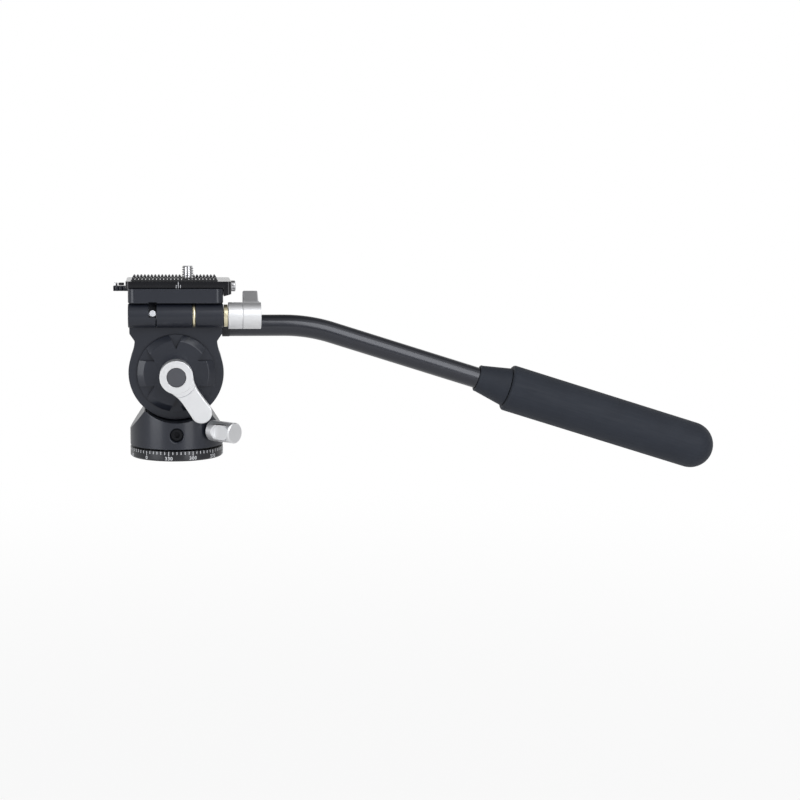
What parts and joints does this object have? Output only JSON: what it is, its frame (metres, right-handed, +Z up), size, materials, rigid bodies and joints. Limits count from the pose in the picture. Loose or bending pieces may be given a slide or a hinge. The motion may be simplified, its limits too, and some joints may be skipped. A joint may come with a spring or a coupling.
{
  "type": "fluid video head",
  "caption": "Video tripod head: pan base with a degree scale, tilting yoke with lock lever, bent handle, and a flip-up quick release clamp with its camera plate.",
  "frame": {"origin": "bottom centre of the base ring, where the head seats on its tripod", "axes": "+Z up along the pan axis, +X towards the handle, +Y away from the degree dial's side"},
  "size_m": [0.3364, 0.0701, 0.1139],
  "materials": {
    "black_anodised": "black anodised, satin",
    "scale_black": "black anodised with a grey printed degree scale",
    "satin_silver": "satin silver",
    "chrome": "polished",
    "steel": "machined",
    "brass": "turned",
    "grey_plastic": "fine grain",
    "black_plastic": "satin",
    "white_plastic": "plain",
    "rubber": "fine lengthwise grain on the grip, teeth on the plate"
  },
  "bodies": {
    "base": {"base_ring": "scale_black", "pan_spindle": "steel", "thread_insert": "steel", "base_screw_1": "steel", "base_screw_2": "steel", "base_screw_3": "steel"},
    "pan": {"pan_body": "black_anodised", "pan_retaining_ring": "steel", "pan_thrust_washer": "white_plastic", "pan_brake_shoe": "brass", "pan_drag_pad": "white_plastic", "pan_drag_screw": "steel", "tilt_axle": "steel"},
    "pan_knob": {"pan_lock_knob": "satin_silver", "pan_lock_stud": "steel"},
    "tilt": {"tilt_housing": "black_anodised", "dial_cover": "black_anodised", "far_cover": "black_anodised", "tilt_bush_near": "brass", "tilt_bush_far": "brass", "friction_disc_near": "white_plastic", "friction_disc_far": "white_plastic", "hinge_pin": "steel", "brass_washer": "brass", "brass_collar": "brass", "stop_pin": "chrome", "handle_stud": "steel", "handle_collar": "black_plastic", "handle_tube": "black_anodised", "tube_end_plug": "black_plastic", "grip_collar": "black_plastic", "grip_sleeve": "rubber"},
    "tilt_lever": {"tilt_lever_collar": "satin_silver", "tilt_lever": "satin_silver", "tilt_lever_cap": "grey_plastic"},
    "flip_lever": {"flip_lever_collar": "satin_silver", "flip_lever": "satin_silver", "flip_lever_cap": "grey_plastic"},
    "clamp": {"clamp_base": "black_anodised", "jaw_guide_pin_1": "steel", "jaw_guide_pin_2": "steel", "draw_rod": "steel", "lever_pivot_pin": "steel"},
    "jaw": {"clamp_jaw": "black_anodised"},
    "clamp_lever": {"clamp_lever": "black_anodised", "lever_latch": "black_plastic"},
    "lever_button": {"lever_button": "chrome"},
    "plate": {"camera_plate": "black_anodised", "rubber_strip_near": "rubber", "rubber_strip_far": "rubber", "stop_screw": "chrome"},
    "screw_carrier": {"screw_clip": "steel"},
    "camera_screw": {"camera_screw": "chrome"}
  },
  "joints": [
    {"name": "pan_turn", "type": "hinge", "parent": "base", "child": "pan", "pos_m": [0, 0, 0.0061], "axis": [0, 0, 1], "continuous": true},
    {"name": "pan_lock_turn", "type": "hinge", "parent": "pan", "child": "pan_knob", "pos_m": [0.02475, -0.02475, 0.0159], "axis": [0.7071, -0.7071, 0], "continuous": true},
    {"name": "tilt_swing", "type": "hinge", "parent": "pan", "child": "tilt", "pos_m": [0, 0, 0.0465], "axis": [0, 1, 0], "range_deg": [-70, 70]},
    {"name": "tilt_lock_turn", "type": "hinge", "parent": "pan", "child": "tilt_lever", "pos_m": [0, -0.028, 0.0465], "axis": [0, -1, 0], "range_deg": [-80, 35]},
    {"name": "flip_lock_turn", "type": "hinge", "parent": "tilt", "child": "flip_lever", "pos_m": [0.036, -0.019, 0.0775], "axis": [1, 0, 0], "range_deg": [-15, 120]},
    {"name": "clamp_flip", "type": "hinge", "parent": "tilt", "child": "clamp", "pos_m": [0, -0.019, 0.0775], "axis": [1, 0, 0], "range_deg": [0, 90]},
    {"name": "jaw_slide", "type": "slide", "parent": "clamp", "child": "jaw", "axis": [0, 1, 0], "range_m": [0, 0.00239]},
    {"name": "clamp_lever_turn", "type": "hinge", "parent": "clamp", "child": "clamp_lever", "pos_m": [0.008, 0.0292, 0.0891], "axis": [0, 0, -1], "range_deg": [0, 110]},
    {"name": "lever_button_press", "type": "slide", "parent": "clamp_lever", "child": "lever_button", "axis": [0, 0, -1], "range_m": [0, 0.001], "stiffness_N_per_m": 300, "springref_m": -0.001},
    {"name": "plate_slide", "type": "slide", "parent": "clamp", "child": "plate", "axis": [1, 0, 0], "range_m": [0, 0.0035]},
    {"name": "camera_screw_slide", "type": "slide", "parent": "plate", "child": "screw_carrier", "axis": [1, 0, 0], "range_m": [-0.0196, 0.0064]},
    {"name": "camera_screw_turn", "type": "hinge", "parent": "screw_carrier", "child": "camera_screw", "pos_m": [0.0066, 0, 0.0892], "axis": [0, 0, 1], "continuous": true}
  ],
  "couplings": [
    {"joint": "clamp_lever_turn", "follows": "jaw_slide", "rad_per_m": 800}
  ]
}
